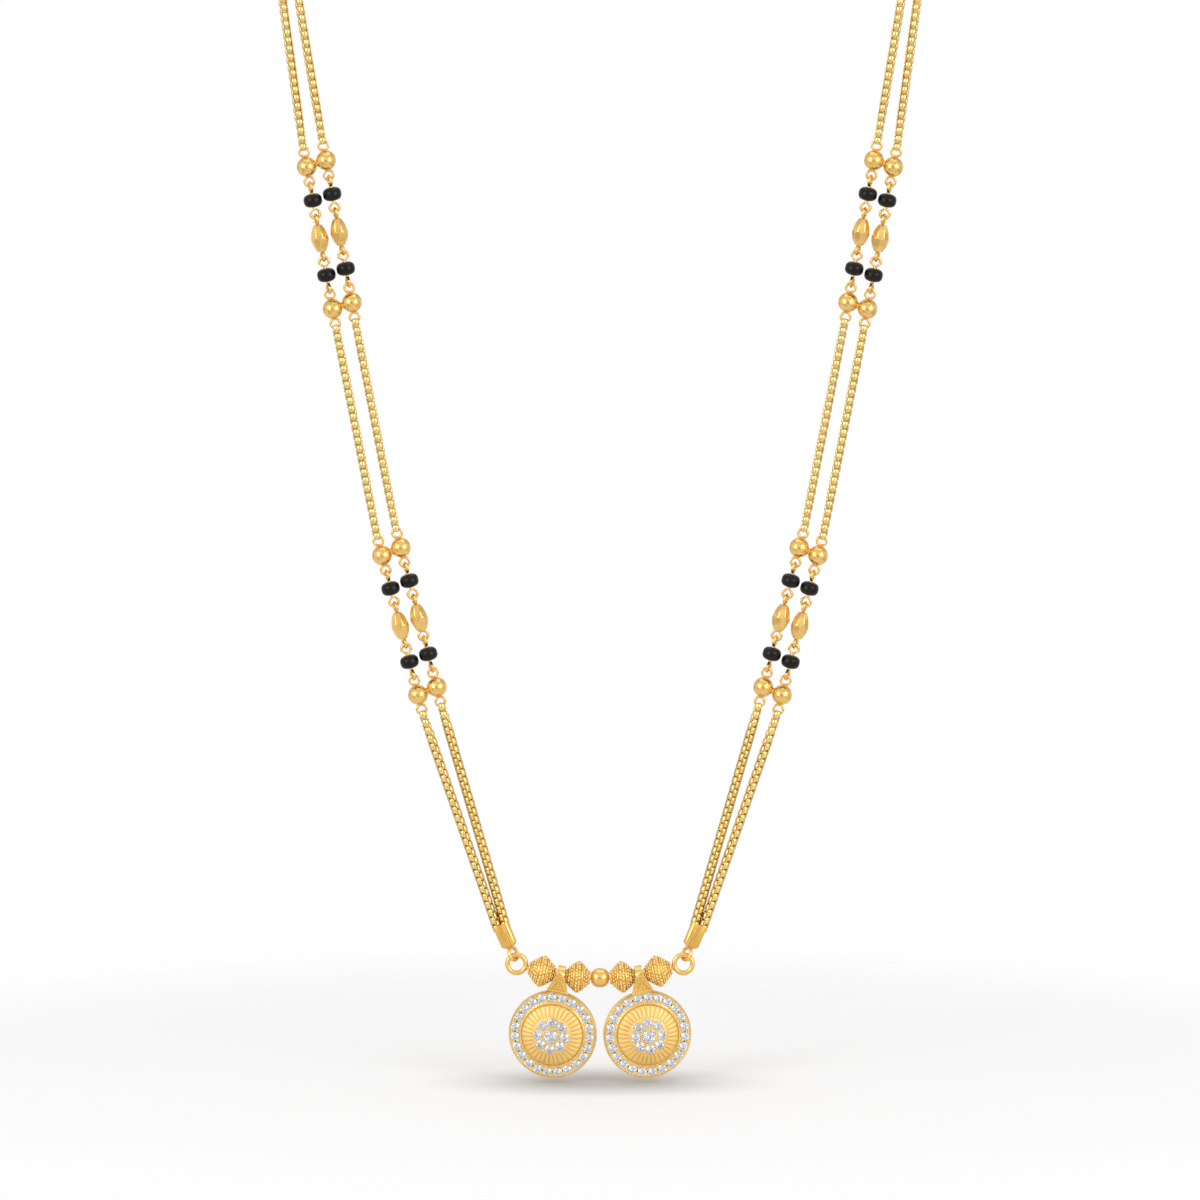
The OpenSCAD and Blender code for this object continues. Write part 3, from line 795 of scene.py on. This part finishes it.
gem = {  # corner rings of a brilliant of diameter 1, each as count, radius, height and turn
    "rings": ((8, 0.28, 0.16, 22.5), (8, 0.39, 0.1107, 0), (16, 0.5, 0.022, 0), (16, 0.5, -0.022, 0),
              (8, 0.13, -0.322, 0), (8, 0.012, -0.42, 22.5)),
    "flatWithin": 0.8, "foilBelow": -0.03,
}


def brilliant():  # round brilliant cut of diameter 1, as the hull of its corner rings
    circles = []
    for count, radius, height, angle in gem["rings"]:
        deselectAll()
        bpy.ops.mesh.primitive_circle_add(vertices=count, radius=radius, location=(0, 0, height),
                                          rotation=(0, 0, math.radians(angle)))
        circles.append(bpy.context.object)
    stone = joined("brilliant", *circles)
    applyPlace()
    openEdit(stone)
    bpy.ops.mesh.convex_hull()
    bpy.ops.mesh.dissolve_limited(angle_limit=math.radians(gem["flatWithin"]))
    closeEdit()
    smoothed(stone, "stone", "zirconia", "foil")
    for face in stone.data.polygons:
        face.material_index = 1 if face.center.z < gem["foilBelow"] else 0
    return stone


def disc():  # turned plate with flutes, three finishes, and the seats and pits cut into it
    profile = vati["back"] + vati["rim"] + vati["channel"] + vati["flute"] + vati["plateau"]
    plate = turned("vatiDisc", vati["around"], profile)
    fluteIn, fluteOut = vati["flute"][-1][0] - vati["near"], vati["flute"][1][0] + vati["near"]
    perFlute = vati["around"] // vati["flutes"]
    openEdit(plate)

    def inFlute(middle, step):  # in the fluted band, and this many steps from its groove
        inBand = fluteIn < math.hypot(middle.x, middle.y) < fluteOut and middle.z > vati["frontFrom"]
        steps = round(math.degrees(math.atan2(middle.y, middle.x)) * vati["around"] / 360)
        return inBand and steps % perFlute == step

    for step, rise in ((0, -vati["fluteDepth"]), (perFlute // 2, vati["fluteCrown"])):
        pick("VERT", lambda middle, vert: inFlute(middle, step))
        bpy.ops.transform.translate(value=(0, 0, rise))
    closeEdit()
    smoothed(plate, "sheet", "brightGold", "satinGold", "paleGoldGrainHighlight")
    for face in plate.data.polygons:
        radius, height = math.hypot(face.center.x, face.center.y), face.center.z
        if height > vati["satin"][0] and radius < vati["satin"][1]:
            face.material_index = 1
        elif height < vati["ground"][0] and radius < vati["ground"][1] and face.normal.z > vati["facing"]:
            face.material_index = 2
    seat = turned("seat", stoneSet["seatAround"], stoneSet["seat"])
    spots = [spot @ Matrix.Scale(size + 2 * stoneSet["play"], 4) for spot, size in stoneSpots()]
    seats = copied(seat, "seats", spots)
    # the stone seats are darker gold, painted shade under the stones
    coated(seats, "recessShadeGold")
    pit = turned("pit", stoneSet["pitAround"], stoneSet["pit"])
    pits = copied(pit, "pits", [turn(ringAngle(k + 0.5), "Z") @ shift(0, stoneSet["ringAt"], 0)
                                for k in range(stoneSet["ringCount"])])
    # the pits between the ring's stones are dark brown, painted shade
    coated(pits, "pitShade")
    seats = joined("seats", seats, pits)
    dropped(seat, pit)
    applied(plate, "BOOLEAN", object=seats, operation="DIFFERENCE", solver="EXACT",
            material_mode="TRANSFER")
    dropped(seats)
    return plate


def settingBeads():  # small prong beads between the stones, and the milgrain row round the dome
    bead, fine = granule(stoneSet["bead"]), granule(vati["milgrainSize"])
    off, height = stoneSet["ringProngs"]
    spots = [turn(ringAngle(k + 0.5), "Z") @ shift(0, radius, height) for k in range(stoneSet["ringCount"])
             for radius in (stoneSet["ringAt"] - off, stoneSet["ringAt"] + off)]
    step = 360 / stoneSet["flowerCount"]
    spots += [turn((k + 0.5) * step, "Z") @ shift(0, radius, height) for k in range(stoneSet["flowerCount"])
              for radius, height in stoneSet["flowerProngs"]]
    beads = copied(bead, "prongBeads", spots)
    radius, height = vati["milgrainAt"]
    row = copied(fine, "milgrain", [turn(k * 360 / vati["milgrain"], "Z") @ shift(0, radius, height)
                                    for k in range(vati["milgrain"])])
    dropped(bead, fine)
    return joined("settingBeads", beads, row)


strapBail = {
    "lean": 4.5, "outwards": -0.1, "fold": 1.4, "foldStep": 12, "strip": 0.26,
    "soften": 0.04, "softenFrom": 50,
    "foot": 2.75, "frontFoot": -1.12, "backFoot": 1.26, "bow": 0.3,
    "topHalf": 0.56, "barHalf": 0.65, "footHalf": 1.74, "backShare": 0.8, "backFrom": -0.4,
    "front": ((0, 1), (0.1, 0.66), (0.2, 0.33)),  # how far forwards, and share of the foot's depth
    "back": (0.05, 0.4),
    "grain": 0.14, "border": 0.22, "recess": 0.14, "facing": 0.9, "frontNear": 0.05, "frontTo": 0.2,
}


def strap():  # the bail: a strip folded over the bar, narrow at the fold and wide at the disc
    fold, foot = strapBail["fold"], strapBail["foot"]
    path = [(strapBail["frontFoot"] - forwards, -foot * share) for forwards, share in strapBail["front"]]
    path += [(-fold * math.cos(math.radians(angle)), fold * math.sin(math.radians(angle)))
             for angle in range(0, 181, strapBail["foldStep"])]
    forwards, share = strapBail["back"]
    path += [(fold - forwards, -foot * share), (strapBail["backFoot"], -foot)]
    deselectAll()
    bpy.ops.mesh.primitive_plane_add(size=2)
    piece = named("strap")
    openEdit(piece)
    pick("VERT", lambda middle, vert: middle.y > 0)
    bpy.ops.mesh.delete(type="VERT")
    bpy.ops.mesh.select_all(action="SELECT")
    bpy.ops.transform.translate(value=(0, 1 + path[0][0], path[0][1]))
    bpy.ops.mesh.select_all(action="SELECT")
    for before, after in zip(path, path[1:]):
        bpy.ops.mesh.extrude_region_move(
            TRANSFORM_OT_translate={"value": (0, after[0] - before[0], after[1] - before[1])}
        )
    mesh = bmesh.from_edit_mesh(piece.data)
    for vert in mesh.verts:  # the strip's taper; its back is narrower
        behind = min(1, max(0, vert.co.y - strapBail["backFrom"]))
        share = 1 - behind * (1 - strapBail["backShare"])
        vert.co.x = math.copysign(strapHalf(vert.co.z) * share, vert.co.x)
    bmesh.update_edit_mesh(piece.data)
    closeOutwards()
    if sum(face.center.y * face.normal.y for face in piece.data.polygons) < 0:
        piece.data.flip_normals()
    applied(piece, "SOLIDIFY", thickness=strapBail["strip"], offset=-1)
    openEdit(piece)
    facing, frontY = -strapBail["facing"], strapBail["frontFoot"] + strapBail["frontNear"]
    pick("FACE", lambda middle, face: face.normal.y < facing and middle.y < frontY)
    bpy.ops.mesh.inset(thickness=strapBail["border"], depth=-strapBail["recess"])
    closeEdit()
    bevelled(piece, strapBail)
    smoothed(piece, "bail", "brightGold", "brushedGold")
    for face in piece.data.polygons:
        middle = face.center
        sunken = strapFront(middle.z) + strapBail["recess"] * 0.5 < middle.y < 0
        if face.normal.y < facing and middle.z < strapBail["frontTo"] and sunken:
            face.material_index = 1
    return piece


def strapHalf(z):  # half the strap's width at a height: from the bar down to the foot, or up to the fold
    end, width = (-strapBail["foot"], "footHalf") if z < 0 else (strapBail["fold"], "topHalf")
    return strapBail["barHalf"] + (strapBail[width] - strapBail["barHalf"]) * z / end


def strapFront(z):  # how far forward the strap's front face stands at a height
    return strapBail["frontFoot"] - strapBail["bow"] * (1 + max(z, -strapBail["foot"]) / strapBail["foot"])


ornament = {  # heights from the hinge, and room beside each row
    "wire": 0.07, "around": 8, "frame": (-0.95, -0.05), "crossbar": (0.7, -0.8), "frameRoom": (-0.2, 0.14),
    "frameSunk": 0.7,
    "rows": ((-1.25, 2), (-1.58, 3), (-1.9, 4)), "rowRoom": 0.2, "rowSunk": 0.8,
    "footRow": -2.42, "footCount": 8, "footRoom": 0.16, "footSunk": 0.03,
}


def strapOrnament():  # a small window frame near the fold, granules below it and a row along the foot
    pieces, spots, recess = [], [], strapBail["recess"]
    at, room = ornament["frameRoom"]
    half = strapHalf(at) - strapBail["border"] - room
    low, high = ornament["frame"]
    share, cross = ornament["crossbar"]
    for start, end in (((-half, low), (-half, high)), ((half, low), (half, high)),
                       ((-half, high), (half, high)), ((-half * share, cross), (half * share, cross))):
        a, b = (Vector((x, strapFront(z) + recess * ornament["frameSunk"], z)) for x, z in (start, end))
        rod = turned("frameWire", ornament["around"],
                     ((ornament["wire"], 0), (ornament["wire"], (b - a).length)))
        rod.data.transform(Matrix.Translation(a) @ (b - a).to_track_quat("Z", "Y").to_matrix().to_4x4())
        pieces.append(smoothed(rod, "turned", "paleGoldGrainHighlight"))

    def grainRow(z, half, count, sunk):  # evenly from side to side on the strap's front
        return [shift(-half + 2 * half * k / (count - 1), strapFront(z) + sunk, z) @ turn(90, "X")
                for k in range(count)]

    for z, count in ornament["rows"]:
        half = strapHalf(z) - strapBail["border"] - ornament["rowRoom"]
        spots += grainRow(z, half, count, recess * ornament["rowSunk"])
    z = ornament["footRow"]
    spots += grainRow(z, strapHalf(z) - ornament["footRoom"], ornament["footCount"], ornament["footSunk"])
    grain = granule(strapBail["grain"])
    pieces.append(copied(grain, "strapGrains", spots))
    dropped(grain)
    return joined("strapOrnament", *pieces)


def pendantSetting():  # disc and bail in the hinge's frame, with the bar along x
    onDisc = joined("discWithBeads", disc(), settingBeads())
    onDisc.data.transform(facePlace)
    bail = joined("bail", strap(), strapOrnament())
    aside = shift(strapBail["outwards"], 0, 0)
    bail.data.transform(aside @ turn(-strapBail["lean"], "Y") @ turn(vati["turn"], "Z"))
    return joined("pendantSetting", onDisc, bail)


setting = pendantSetting()
stone = brilliant()
stones = copied(stone, "stones", [spot @ Matrix.Scale(size, 4) for spot, size in stoneSpots()])
stones.data.transform(facePlace)
dropped(stone)
for side in sides:
    place = sideTurn[side] @ pendantPlace
    body = f"{side}_pendant"
    settled(copied(setting, f"vati_setting_{side}"), place, body, "pendant", f"pendant_{side}")
    settled(copied(stones, f"brilliant_stones_{side}"), place, body, "stones", f"pendant_stones_{side}")
dropped(setting, stones)
print("pendants made")


# studio: white world, pale floor just under the pendants, three soft boxes and a long lens
studio = {
    "backdrop": "#FFFFFF", "light": (0.86, 0.94), "lightHeights": (-0.5, 0.7),
    "lensSpot": (4, 9), "lensDark": 0.3,  # degrees from the lens, and the light that is left there
    "folds": (0.6, 1.25), "foldNoise": (0.38, 0.62), "foldScale": 2.6,
    "floorZ": -0.2019, "floorHalf": 0.16, "paper": "#ECECEC", "shade": "#BABABA",
    "shadeHalf": (0.031, 0.017), "fade": (0.55, 0.95),
    "target": (0, -0.046, -0.1287), "distance": 6.0, "elevation": 8, "width": 0.18, "sensor": 36,
    "clip": (0.05, 40),
}
softBoxes = (  # place, size, power in watts
    ((-0.66, -0.72, 0.16), (0.55, 0.6), 3.0),
    ((0.66, -0.72, 0.16), (0.55, 0.6), 3.0),
    ((0, 0.05, 0.75), (0.9, 0.6), 1.3),
)
elevation = math.radians(studio["elevation"])
towardsLens = Vector((0, -math.cos(elevation), math.sin(elevation)))


def whiteStudio():  # white to the lens; to the gold, a bright folded tent with the lens's dark hole
    world = bpy.data.worlds.new("whiteStudio")
    world.use_nodes = True
    way = addNode(world, "ShaderNodeTexCoord").outputs["Generated"]
    facing = addNode(world, "ShaderNodeVectorMath", {1: towardsLens}, {0: way}, operation="DOT_PRODUCT")
    near, far = (math.cos(math.radians(a)) for a in studio["lensSpot"])
    hole = addNode(
        world, "ShaderNodeMapRange",
        {"From Min": far, "From Max": near, "To Min": 1.0, "To Max": studio["lensDark"]},
        {"Value": facing.outputs["Value"]}, interpolation_type="SMOOTHSTEP",
    )
    height = addNode(world, "ShaderNodeSeparateXYZ", {}, {"Vector": way}).outputs["Z"]
    (bottom, top), (low, high) = studio["lightHeights"], studio["light"]
    tent = addNode(
        world, "ShaderNodeMapRange", {"From Min": bottom, "From Max": top, "To Min": low, "To Max": high},
        {"Value": height}, interpolation_type="SMOOTHSTEP",
    )
    cloth = addNode(
        world, "ShaderNodeTexNoise", {"Scale": studio["foldScale"], "Detail": 1.0}, {"Vector": way}
    )
    (hollow, ridge), (dark, bright) = studio["foldNoise"], studio["folds"]
    folds = addNode(
        world, "ShaderNodeMapRange",
        {"From Min": hollow, "From Max": ridge, "To Min": dark, "To Max": bright},
        {"Value": cloth.outputs["Fac"]}, interpolation_type="SMOOTHSTEP",
    )
    folded = addNode(
        world, "ShaderNodeMath", {}, {0: folds.outputs["Result"], 1: tent.outputs["Result"]},
        operation="MULTIPLY",
    )
    strength = addNode(
        world, "ShaderNodeMath", {}, {0: hole.outputs["Result"], 1: folded.outputs["Value"]},
        operation="MULTIPLY",
    )
    seen = addNode(world, "ShaderNodeLightPath").outputs["Is Camera Ray"]
    shown = addNode(
        world, "ShaderNodeMix", {3: 1.0}, {0: seen, 2: strength.outputs["Value"]}, data_type="FLOAT"
    )
    background = world.node_tree.nodes["Background"]
    background.inputs["Color"].default_value = hexColour(studio["backdrop"])
    world.node_tree.links.new(shown.outputs[0], background.inputs["Strength"])
    return world


def studioPaper():  # matt white paper, faded out at its edge; only the lens sees its shaded middle
    paper, shader = surface("mattWhitePaper", {"Roughness": 0.9, "Specular IOR Level": 0.2})
    where = addNode(paper, "ShaderNodeTexCoord").outputs["Object"]

    def nearness(halfWide, halfDeep):  # 1 under the pendants, and 0 at these distances from there
        ahead = -studio["target"][1] / halfDeep
        scaling = {"Location": (0, ahead, 0), "Scale": (1 / halfWide, 1 / halfDeep, 0)}
        spot = addNode(paper, "ShaderNodeMapping", scaling, {"Vector": where}).outputs["Vector"]
        ball = addNode(paper, "ShaderNodeTexGradient", {}, {"Vector": spot}, gradient_type="SPHERICAL")
        return ball.outputs["Fac"]

    seen = addNode(paper, "ShaderNodeLightPath").outputs["Is Camera Ray"]
    shade = addNode(
        paper, "ShaderNodeMapRange", {}, {"Value": nearness(*studio["shadeHalf"])},
        interpolation_type="SMOOTHSTEP",
    )
    shown = addNode(
        paper, "ShaderNodeMath", {}, {0: shade.outputs["Result"], 1: seen}, operation="MULTIPLY"
    )
    tone = addNode(
        paper, "ShaderNodeMix", {6: hexColour(studio["paper"]), 7: hexColour(studio["shade"])},
        {0: shown.outputs["Value"]}, data_type="RGBA",
    )
    edge = nearness(studio["floorHalf"], studio["floorHalf"])
    alpha = addNode(
        paper, "ShaderNodeMapRange", {"From Min": 1 - studio["fade"][1], "From Max": 1 - studio["fade"][0]},
        {"Value": edge}, interpolation_type="SMOOTHSTEP",
    )
    paper.node_tree.links.new(tone.outputs[2], shader.inputs["Base Color"])
    paper.node_tree.links.new(alpha.outputs["Result"], shader.inputs["Alpha"])
    return paper


bpy.context.scene.world = whiteStudio()
deselectAll()
bpy.ops.mesh.primitive_plane_add(
    size=2 * studio["floorHalf"], location=(0, studio["target"][1], studio["floorZ"])
)
applyPlace()
floor = named("studio_floor")
floor.data.materials.append(studioPaper())


def aimed(thing, spot):  # stands at a spot and looks at the target
    target = Vector(studio["target"])
    bpy.context.collection.objects.link(thing)
    thing.location = spot
    thing.rotation_euler = (target - Vector(spot)).to_track_quat("-Z", "Y").to_euler()


for index, (spot, size, power) in enumerate(softBoxes):
    lamp = bpy.data.lights.new(f"softBox{index}", "AREA")
    lamp.shape, lamp.size, lamp.size_y, lamp.energy = "RECTANGLE", size[0], size[1], power
    aimed(bpy.data.objects.new(lamp.name, lamp), spot)

lens = bpy.data.cameras.new("longLens")
lens.sensor_width = studio["sensor"]
lens.lens = studio["sensor"] * studio["distance"] / studio["width"]
lens.clip_start, lens.clip_end = studio["clip"]
camera = bpy.data.objects.new("camera", lens)
aimed(camera, Vector(studio["target"]) + studio["distance"] * towardsLens)
bpy.context.scene.camera = camera
bpy.context.scene.view_settings.view_transform = "Standard"
print("studio ready")
